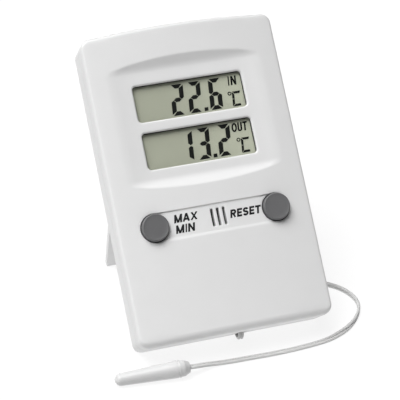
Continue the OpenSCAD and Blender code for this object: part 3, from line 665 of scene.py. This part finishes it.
# ---------------------------------------------------------------------------
# Keys
# ---------------------------------------------------------------------------
def make_key(name, u, body, node):
    """A key turned from (radius, height): dished top, rounded rim, flange and stem."""
    top = [(0, 19.76), (1.0, 19.762), (2.0, 19.768), (3.0, 19.78), (3.6, 19.8), (3.85, 19.82),
           (4.0, 19.85), (4.14, 19.88), (4.28, 19.89)]
    rim = [(4.4, 19.87), (4.51, 19.8), (4.6, 19.68), (4.66, 19.45), (4.69, 19.1), (4.69, 18.6)]
    foot = [(4.7, 15.2), (4.75, 15.15), (5.8, 15.15), (5.9, 15.05), (5.9, 14.5), (5.8, 14.4),
            (2.0, 14.4), (2.0, 13.0), (1.9, 12.92), (0, 12.92)]
    shape = lathe(top + rim + foot, (u, KEY_S), Matrix.Identity(4))
    return piece(name, shape.verts, shape.faces, CASE, body=body,
                 replaces=(node,), sharp=32)


left_key = make_key("max_min_button", -KEY_U, "left_key", "max_min_key")
right_key = make_key("reset_button", KEY_U, "right_key", "reset_key")


# ---------------------------------------------------------------------------
# Printed words on the face, and the display's segments and signs
# ---------------------------------------------------------------------------
def solid_prints(name, outlines, low, high, replaces=()):
    """Flat shapes with a little thickness. outlines are (points, triangles)."""
    b = Build()
    for points, triangles in outlines:
        lower = b.ring([(u, s, low(u, s)) for u, s in points])
        upper = b.ring([(u, s, high(u, s)) for u, s in points])
        count = {}
        for tri in triangles:
            b.faces.append(tuple(upper[k] for k in tri))
            b.faces.append(tuple(lower[k] for k in reversed(tri)))
            for i in range(len(tri)):
                pair = (tri[i], tri[(i + 1) % len(tri)])
                count[pair] = count.get(pair, 0) + 1
        for (i, j) in count:
            if (j, i) not in count:
                b.faces.append((upper[j], upper[i], lower[i], lower[j]))
    return piece(name, b.verts, b.faces, CASE, replaces=replaces, sharp=30)


def stroke(points, thick):
    """A line of even thickness through the points, as a flat outline of quads."""
    rows = []
    last = len(points) - 1
    for i, here in enumerate(points):
        ways = [(Vector(points[k + 1]) - Vector(points[k])).normalized()
                for k in (i - 1, i) if 0 <= k < last]
        mean = (ways[0] + ways[-1]).normalized()
        reach = thick / 2 / max(0.5, mean.dot(ways[0]))
        rows.append([(here[0] - mean.y * reach * side, here[1] + mean.x * reach * side)
                     for side in (1, -1)])
    flat = [p for row in rows for p in row]
    return flat, [(2 * i + 1, 2 * i + 3, 2 * i + 2, 2 * i) for i in range(last)]


def letter(name, w, h, t):
    """The middle lines of a letter that fills a box w by h with strokes of thickness t."""
    left, right, middle, base, top = t / 2, w - t / 2, w / 2, t / 2, h - t / 2
    half = h / 2
    bow = (top - half) / 2

    def oval(cx, cy, rx, ry, start, end, steps=12):
        return [(cx + rx * x, cy + ry * y) for x, y in arc(0, 0, 1, start, end, steps)]

    turn = min(middle - left, half * 0.8)
    return {
        "I": [[(left, 0), (left, h)]],
        "N": [[(left, 0), (left, h)], [(right, 0), (right, h)], [(left, h), (right, 0)]],
        "M": [[(left, 0), (left, h)], [(right, 0), (right, h)], [(left, h), (middle, 0)],
              [(middle, 0), (right, h)]],
        "A": [[(left, 0), (middle, h)], [(right, 0), (middle, h)],
              [(w * 0.24, h * 0.3), (w * 0.76, h * 0.3)]],
        "X": [[(left, 0), (right, h)], [(right, 0), (left, h)]],
        "E": [[(left, 0), (left, h)], [(left, base), (w, base)], [(left, half), (w * 0.92, half)],
              [(left, top), (w, top)]],
        "T": [[(middle, 0), (middle, h)], [(0, top), (w, top)]],
        "U": [[(left, h)] + oval(middle, base + turn, middle - left, turn, 180, 360)
              + [(right, h)]],
        "O": [oval(middle, half, middle - left, half - base, 0, 360, 24)],
        "R": [[(left, 0), (left, h)],
              [(left, top)] + oval(w * 0.56, half + bow, right - w * 0.56, bow, 90, -90)
              + [(left, half)],
              [(w * 0.5, half), (right, 0)]],
        "S": [oval(middle, top - bow, middle - left, bow, 15, 270)
              + oval(middle, base + bow, middle - left, bow, 90, -165)[1:]],
    }[name]


LETTER_WIDTHS = {"I": 0.17, "N": 0.8, "M": 0.96, "A": 0.9, "X": 0.88, "E": 0.74, "T": 0.82,
                 "U": 0.8, "O": 0.96, "R": 0.84, "S": 0.82}


def word(text, left, right, low, high, slant, thick, gap):
    """A slanted word that fills a box on the face, its letters drawn with strokes."""
    tilt = math.tan(math.radians(slant))
    tall = high - low
    wide = right - left - tall * tilt
    units = sum(LETTER_WIDTHS[c] for c in text) + gap * (len(text) - 1)
    unit = wide / units
    shapes, x = [], left
    for c in text:
        w = LETTER_WIDTHS[c] * unit
        for line in letter(c, thick if c == "I" else w, tall, thick):
            points, quads = stroke(line, thick)
            points = [(min(max(a, -0.02), w + 0.02), min(max(b, 0), tall)) for a, b in points]
            shapes.append(([(x + a + b * tilt, low + b) for a, b in points], quads))
        x += w + gap * unit
    return shapes


def polygon(points):
    return points, [tuple(range(len(points)))]


def frame_between(outer, inner):
    """The flat area between two outlines that have the same number of points."""
    n = len(outer)
    return outer + inner, [(i, (i + 1) % n, n + (i + 1) % n, n + i) for i in range(n)]


PRINT_SINK, PRINT_LIFT = 0.05, 0.02
PRINT_SLANT, PRINT_T = 11, 0.69
face_words = solid_prints(
    "face_words",
    word("MAX", -14.7, -6.0, 39.6, 42.45, PRINT_SLANT, PRINT_T, 0.06)
    + word("MIN", -14.8, -7.7, 35.95, 38.8, PRINT_SLANT, PRINT_T, 0.14)
    + word("RESET", 4.7, 16.2, 38.0, 40.85, PRINT_SLANT, PRINT_T, 0.11),
    lambda u, s: face_height(u, s) - PRINT_SINK, lambda u, s: face_height(u, s) + PRINT_LIFT)

GLASS_TOP, FILM_LOW, FILM_HIGH = 15.55, 0.08, 0.005
DIGIT_W, DIGIT_H, UPRIGHT_T, FLAT_T, SLANT, GAP = 4.55, 10.85, 1.58, 1.42, 5.9, 0.1
DIGIT_LEFTS = (-6.96, -0.88, 6.57)
POINT_X, POINT_W, POINT_H = 4.45, 1.35, 1.27
DEGREE_X, DEGREE_Y, DEGREE_R, DEGREE_HOLE_R = 14.32, 4.7, 0.7, 0.36
LETTER_C_X, LETTER_C_W, LETTER_C_H, LETTER_C_T = 14.68, 2.9, 5.25, 0.8


def digit_bars():
    """Outlines of the seven bars: top, upper right, lower right, bottom, lower left, upper
    left, middle."""
    t, f, g, w, h = UPRIGHT_T, FLAT_T, GAP, DIGIT_W, DIGIT_H
    m = h / 2
    upright = [(0, g + 0.35), (t, f + g), (t, m - f / 2 - g), (t / 2, m - g), (0, m - f / 2 + 0.1)]
    flat = [(g + 0.25, 0), (w - g - 0.25, 0), (w - t - g, f), (t + g, f)]
    middle = [(t / 2 + g, m), (t + g, m + f / 2), (w - t - g, m + f / 2), (w - t / 2 - g, m),
              (w - t - g, m - f / 2), (t + g, m - f / 2)]

    def put(points, right, top):
        made = []
        for x, y in points:
            x = w - x if right else x
            y = h - y if top else y
            made.append((x + y * math.tan(math.radians(SLANT)), y))
        return made[::-1] if right != top else made

    return [put(flat, False, True), put(upright, True, True), put(upright, True, False),
            put(flat, False, False), put(upright, False, False), put(upright, False, True),
            put(middle, False, False)]


DIGITS = {1: (1, 2), 2: (0, 1, 6, 4, 3), 3: (0, 1, 6, 2, 3), 6: (0, 5, 6, 4, 2, 3)}
BARS = digit_bars()


def reading(name, digits, low, aside, label, node):
    """Three digits with a point before the last, the degree sign and the row's word."""
    shapes = []
    for value, left in zip(digits, DIGIT_LEFTS):
        for bar in DIGITS[value]:
            shapes.append(polygon([(left + aside + x, low + y) for x, y in BARS[bar]]))
    point = POINT_X + aside
    shapes.append(polygon([(point, low), (point + POINT_W, low),
                           (point + POINT_W + 0.12, low + POINT_H), (point + 0.12, low + POINT_H)]))
    # The C beside the degree ring, in four strokes
    cw, ch, ct = LETTER_C_W, LETTER_C_H, LETTER_C_T
    tilt = math.tan(math.radians(SLANT))

    def lean(points):
        return [(LETTER_C_X + aside + x + y * tilt, low + y) for x, y in points]

    shapes += [polygon(lean([(0.12, 0), (cw + 0.1, 0), (cw - 0.1, ct), (0.12 + ct, ct)])),
               polygon(lean([(0, 0.12), (ct, ct + 0.12), (ct, ch / 2 - 0.08), (0, ch / 2 - 0.08)])),
               polygon(lean([(0, ch / 2 + 0.08), (ct, ch / 2 + 0.08), (ct, ch - ct - 0.12),
                             (0, ch - 0.12)])),
               polygon(lean([(0.12 + ct, ch - ct), (cw - 0.1, ch - ct), (cw + 0.1, ch),
                             (0.12, ch)]))]
    outer, inner = (arc(DEGREE_X + aside, low + DEGREE_Y, r, 0, 360, 24)[:-1]
                    for r in (DEGREE_R, DEGREE_HOLE_R))
    shapes.append(frame_between(outer, inner))
    shapes += label
    return solid_prints(name, shapes, lambda u, s: GLASS_TOP - FILM_LOW,
                        lambda u, s: GLASS_TOP - FILM_HIGH, (node,))


indoor = reading("indoor_segments", (2, 2, 6), 76.47, 0.0,
                 word("IN", 14.5, 17.8, 84.0, 87.27, 6, 0.62, 0.22), "indoor_reading")
outdoor = reading("outdoor_segments", (1, 3, 2), 60.0, -0.28,
                  word("OUT", 12.3, 18.3, 67.55, 70.75, 6, 0.58, 0.1), "outdoor_reading")


# Painted shade: a dark sheet that shows only at the windows' top and right edges, where their inner
# walls lie in shade.
PAINTED_SHADE_HALF_W, PAINTED_SHADE_HALF_H = 20.6, 7.9
PAINTED_SHADE_LEFT, PAINTED_SHADE_RIGHT, PAINTED_SHADE_BELOW, PAINTED_SHADE_ABOVE = -19.6, 19.05, 0.25, 0.32
PAINTED_SHADE_LOW, PAINTED_SHADE_HIGH = 16.234, 16.256


def make_window_painted_shade():
    """A thin dark sheet between the cover and the lens that reaches into the windows at the top and
    right only: painted shade for the shaded inner walls of the windows there.
    """
    def box(left, right, low, high):
        return [(left, low), (right, low), (right, high), (left, high)]

    half = WINDOW_H / 2
    shapes = [frame_between(
        box(-PAINTED_SHADE_HALF_W, PAINTED_SHADE_HALF_W, mid - PAINTED_SHADE_HALF_H, mid + PAINTED_SHADE_HALF_H),
        box(PAINTED_SHADE_LEFT, PAINTED_SHADE_RIGHT, mid - half - PAINTED_SHADE_BELOW, mid + half - PAINTED_SHADE_ABOVE))
        for mid in WINDOW_MIDS]
    return solid_prints("display_window_painted_shade", shapes, lambda u, s: PAINTED_SHADE_LOW,
                        lambda u, s: PAINTED_SHADE_HIGH)


window_painted_shade = make_window_painted_shade()


# ---------------------------------------------------------------------------
# Materials
# ---------------------------------------------------------------------------
def material(name, colour, rough, spec=0.5, vary=0.03, grain=0.25, grain_size=0.12,
             blotch=6.0, metal=0.0, rough_vary=0.06, coat=0.0):
    """A moulded or plated finish: broad colour drift, fine speckle, uneven gloss and a
    fine surface grain. grain_size and blotch are in mm."""
    m = bpy.data.materials.new(name)
    m.use_nodes = True
    tree = m.node_tree
    shader = tree.nodes["Principled BSDF"]
    shader.inputs["Metallic"].default_value = metal
    shader.inputs["Specular IOR Level"].default_value = spec
    shader.inputs["Coat Weight"].default_value = coat
    shader.inputs["Coat Roughness"].default_value = 0.08
    where = tree.nodes.new("ShaderNodeTexCoord")

    def noise(scale_mm, detail, rough_in=0.5):
        n = tree.nodes.new("ShaderNodeTexNoise")
        n.inputs["Scale"].default_value = 1.0 / (scale_mm * MM)
        n.inputs["Detail"].default_value = detail
        n.inputs["Roughness"].default_value = rough_in
        tree.links.new(where.outputs["Object"], n.inputs["Vector"])
        return n

    broad, fine = noise(blotch, 3.0), noise(grain_size, 2.0, 0.6)
    mix = tree.nodes.new("ShaderNodeMix")
    mix.data_type = "RGBA"
    mix.inputs["A"].default_value = (*[c * (1 - vary) for c in colour], 1)
    mix.inputs["B"].default_value = (*[min(1, c * (1 + vary)) for c in colour], 1)
    tree.links.new(broad.outputs["Fac"], mix.inputs["Factor"])
    speck = tree.nodes.new("ShaderNodeMix")
    speck.data_type = "RGBA"
    speck.blend_type = "MULTIPLY"
    speck.inputs["Factor"].default_value = 1.0
    level = tree.nodes.new("ShaderNodeMapRange")
    level.inputs["From Min"].default_value = 0.3
    level.inputs["From Max"].default_value = 0.7
    level.inputs["To Min"].default_value = 1 - vary * 0.6
    level.inputs["To Max"].default_value = 1.0
    tree.links.new(fine.outputs["Fac"], level.inputs["Value"])
    tree.links.new(mix.outputs["Result"], speck.inputs["A"])
    tree.links.new(level.outputs["Result"], speck.inputs["B"])
    tree.links.new(speck.outputs["Result"], shader.inputs["Base Color"])
    gloss = tree.nodes.new("ShaderNodeMapRange")
    gloss.inputs["From Min"].default_value = 0.3
    gloss.inputs["From Max"].default_value = 0.7
    gloss.inputs["To Min"].default_value = max(0.02, rough - rough_vary)
    gloss.inputs["To Max"].default_value = rough + rough_vary
    tree.links.new(broad.outputs["Fac"], gloss.inputs["Value"])
    tree.links.new(gloss.outputs["Result"], shader.inputs["Roughness"])
    bump = tree.nodes.new("ShaderNodeBump")
    bump.inputs["Strength"].default_value = grain
    bump.inputs["Distance"].default_value = 0.02 * MM
    tree.links.new(fine.outputs["Fac"], bump.inputs["Height"])
    tree.links.new(bump.outputs["Normal"], shader.inputs["Normal"])
    return m


MATERIALS = {
    "white": material("white_abs", (0.71, 0.71, 0.71), 0.42, vary=0.012, grain=0.35),
    "rear": material("rear_abs", (0.71, 0.71, 0.71), 0.5, vary=0.015, grain=0.6, grain_size=0.2),
    "cable": material("cable_pvc", (0.62, 0.62, 0.615), 0.36, vary=0.015, grain=0.2,
                      grain_size=0.3, blotch=9),
    "probe": material("probe_pvc", (0.62, 0.62, 0.62), 0.34, vary=0.012, grain=0.25),
    "key": material("key_plastic", (0.126, 0.126, 0.129), 0.45, vary=0.04, grain=0.35),
    "ink": material("print_ink", (0.015, 0.015, 0.016), 0.6, spec=0.2, vary=0.08, grain=0.1),
    "segment": material("display_segments", (0.012, 0.013, 0.012), 0.6, spec=0.05, vary=0.05,
                        grain=0.0),
    "rubber": material("contact_rubber", (0.05, 0.05, 0.055), 0.7, vary=0.08, grain=0.6),
    "board": material("circuit_board", (0.02, 0.13, 0.05), 0.3, vary=0.2, grain=0.1, blotch=1.5,
                      coat=0.3),
    "resin": material("black_resin", (0.012, 0.012, 0.012), 0.18, vary=0.1, grain=0.05),
    "metal": material("nickel_plate", (0.62, 0.61, 0.59), 0.28, vary=0.06, grain=0.15, metal=1.0),
    "cell": material("cell_wrap", (0.03, 0.06, 0.1), 0.25, vary=0.1, grain=0.05, coat=0.5),
    "wire": material("wire_pvc", (0.5, 0.03, 0.02), 0.4, vary=0.05, grain=0.2),
    "tie": material("nylon_band", (0.72, 0.72, 0.7), 0.4, vary=0.03, grain=0.4, grain_size=0.4),
}


# Painted light on the display: its colour is raised step by step towards the right.
GLASS_PAINTED_LIGHT_FROM, GLASS_PAINTED_LIGHT_TO, GLASS_PAINTED_LIGHT = -0.006, 0.019, 1.25


def display_material():
    """Grey-green glass with a fine polariser grain, and painted light that makes it a little
    lighter towards the right.
    """
    m = material("display_glass", (0.432, 0.45, 0.357), 0.5, spec=0.15, vary=0.02, grain=0.05)
    tree = m.node_tree
    shader = tree.nodes["Principled BSDF"]
    was = shader.inputs["Base Color"].links[0].from_socket
    where = tree.nodes.new("ShaderNodeTexCoord")
    split = tree.nodes.new("ShaderNodeSeparateXYZ")
    tree.links.new(where.outputs["Object"], split.inputs["Vector"])
    # Painted light: the glass's colour is multiplied up towards the right.
    level = tree.nodes.new("ShaderNodeMapRange")
    level.inputs["From Min"].default_value = GLASS_PAINTED_LIGHT_FROM
    level.inputs["From Max"].default_value = GLASS_PAINTED_LIGHT_TO
    level.inputs["To Min"].default_value = 1.0
    level.inputs["To Max"].default_value = GLASS_PAINTED_LIGHT
    tree.links.new(split.outputs["X"], level.inputs["Value"])
    grow = tree.nodes.new("ShaderNodeMix")
    grow.data_type = "RGBA"
    grow.blend_type = "MULTIPLY"
    grow.inputs["Factor"].default_value = 1.0
    tree.links.new(was, grow.inputs["A"])
    tree.links.new(level.outputs["Result"], grow.inputs["B"])
    tree.links.new(grow.outputs["Result"], shader.inputs["Base Color"])
    return m


def lens_material():
    """Clear acrylic: a thin film of gloss over what is behind it."""
    m = material("clear_acrylic", (0.02, 0.022, 0.022), 0.08, vary=0.01, grain=0.0,
                 rough_vary=0.02)
    shader = m.node_tree.nodes["Principled BSDF"]
    shader.inputs["Alpha"].default_value = 0.04
    return m


def paint(obj, m):
    obj.data.materials.clear()
    obj.data.materials.append(m)


# The dark sheet at the windows is painted shade, in the black ink.
for obj, key in ((front, "white"), (cable, "cable"), (tie, "tie"), (probe_body, "probe"),
                 (probe_stop, "probe"), (left_key, "key"), (right_key, "key"),
                 (face_words, "ink"), (indoor, "segment"), (outdoor, "segment"),
                 (window_painted_shade, "ink")):
    paint(obj, MATERIALS[key])

for node, key in {"rear_cover": "rear", "battery_door": "rear", "stand_flap": "rear",
                  "lcd_frame": "white", "contact_strips": "rubber", "circuit_board": "board",
                  "chip_cap": "resin", "timing_crystal": "metal", "indoor_sensor": "resin",
                  "key_pads": "rubber", "board_screws": "metal", "case_screws": "metal",
                  "battery_cell": "cell", "battery_spring": "metal", "battery_plate": "metal",
                  "battery_leads": "wire", "cable_gland": "cable", "inner_cable": "cable",
                  "probe_bead": "resin"}.items():
    paint(NODES[node], MATERIALS[key])
paint(NODES["lcd_glass"], display_material())
paint(NODES["display_lens"], lens_material())


# ---------------------------------------------------------------------------
# Floor, light and colour
# ---------------------------------------------------------------------------
FLOOR_SIZE, FLOOR_TONE, FLOOR_GLOW = 3.0, 0.16, 0.84
SKY_BASE = 0.04
SKY_LOBES = [((-0.33, 0.07, 0.94), 10.9, 14.0)]


def make_stage():
    size = FLOOR_SIZE
    mesh = bpy.data.meshes.new("floor")
    mesh.from_pydata([(-size, -size, 0), (size, -size, 0), (size, size, 0), (-size, size, 0)], [],
                     [(0, 1, 2, 3)])
    floor = bpy.data.objects.new("floor", mesh)
    bpy.context.scene.collection.objects.link(floor)
    m = bpy.data.materials.new("pale_floor")
    m.use_nodes = True
    shader = m.node_tree.nodes["Principled BSDF"]
    shader.inputs["Base Color"].default_value = (FLOOR_TONE, FLOOR_TONE, FLOOR_TONE, 1)
    shader.inputs["Emission Color"].default_value = (1, 1, 1, 1)
    shader.inputs["Emission Strength"].default_value = FLOOR_GLOW
    shader.inputs["Roughness"].default_value = 0.9
    shader.inputs["Specular IOR Level"].default_value = 0.1
    floor.data.materials.append(m)


def make_sky(base, lobes):
    """A soft dome that is brightest in a few directions, like softboxes in a white tent.
    Each lobe is a direction, a gain and how tightly it is gathered."""
    world = bpy.data.worlds.new("studio")
    world.use_nodes = True
    tree = world.node_tree
    where = tree.nodes.new("ShaderNodeTexCoord")

    def step(operation, value, other):
        node = tree.nodes.new("ShaderNodeMath")
        node.operation = operation
        tree.links.new(value, node.inputs[0])
        if isinstance(other, float):
            node.inputs[1].default_value = other
        else:
            tree.links.new(other, node.inputs[1])
        return node.outputs["Value"]

    level = None
    for towards, gain, power in lobes:
        dot = tree.nodes.new("ShaderNodeVectorMath")
        dot.operation = "DOT_PRODUCT"
        dot.inputs[1].default_value = Vector(towards).normalized()
        tree.links.new(where.outputs["Generated"], dot.inputs[0])
        lobe = step("POWER", step("MAXIMUM", dot.outputs["Value"], 0.0), power)
        level = step("ADD", step("MULTIPLY", lobe, gain), level or base)
    back = tree.nodes["Background"]
    back.inputs["Color"].default_value = (1, 1, 1, 1)
    tree.links.new(level, back.inputs["Strength"])
    bpy.context.scene.world = world


make_stage()
make_sky(SKY_BASE, SKY_LOBES)
bpy.context.scene.view_settings.view_transform = "Standard"
bpy.context.scene.view_settings.look = "None"
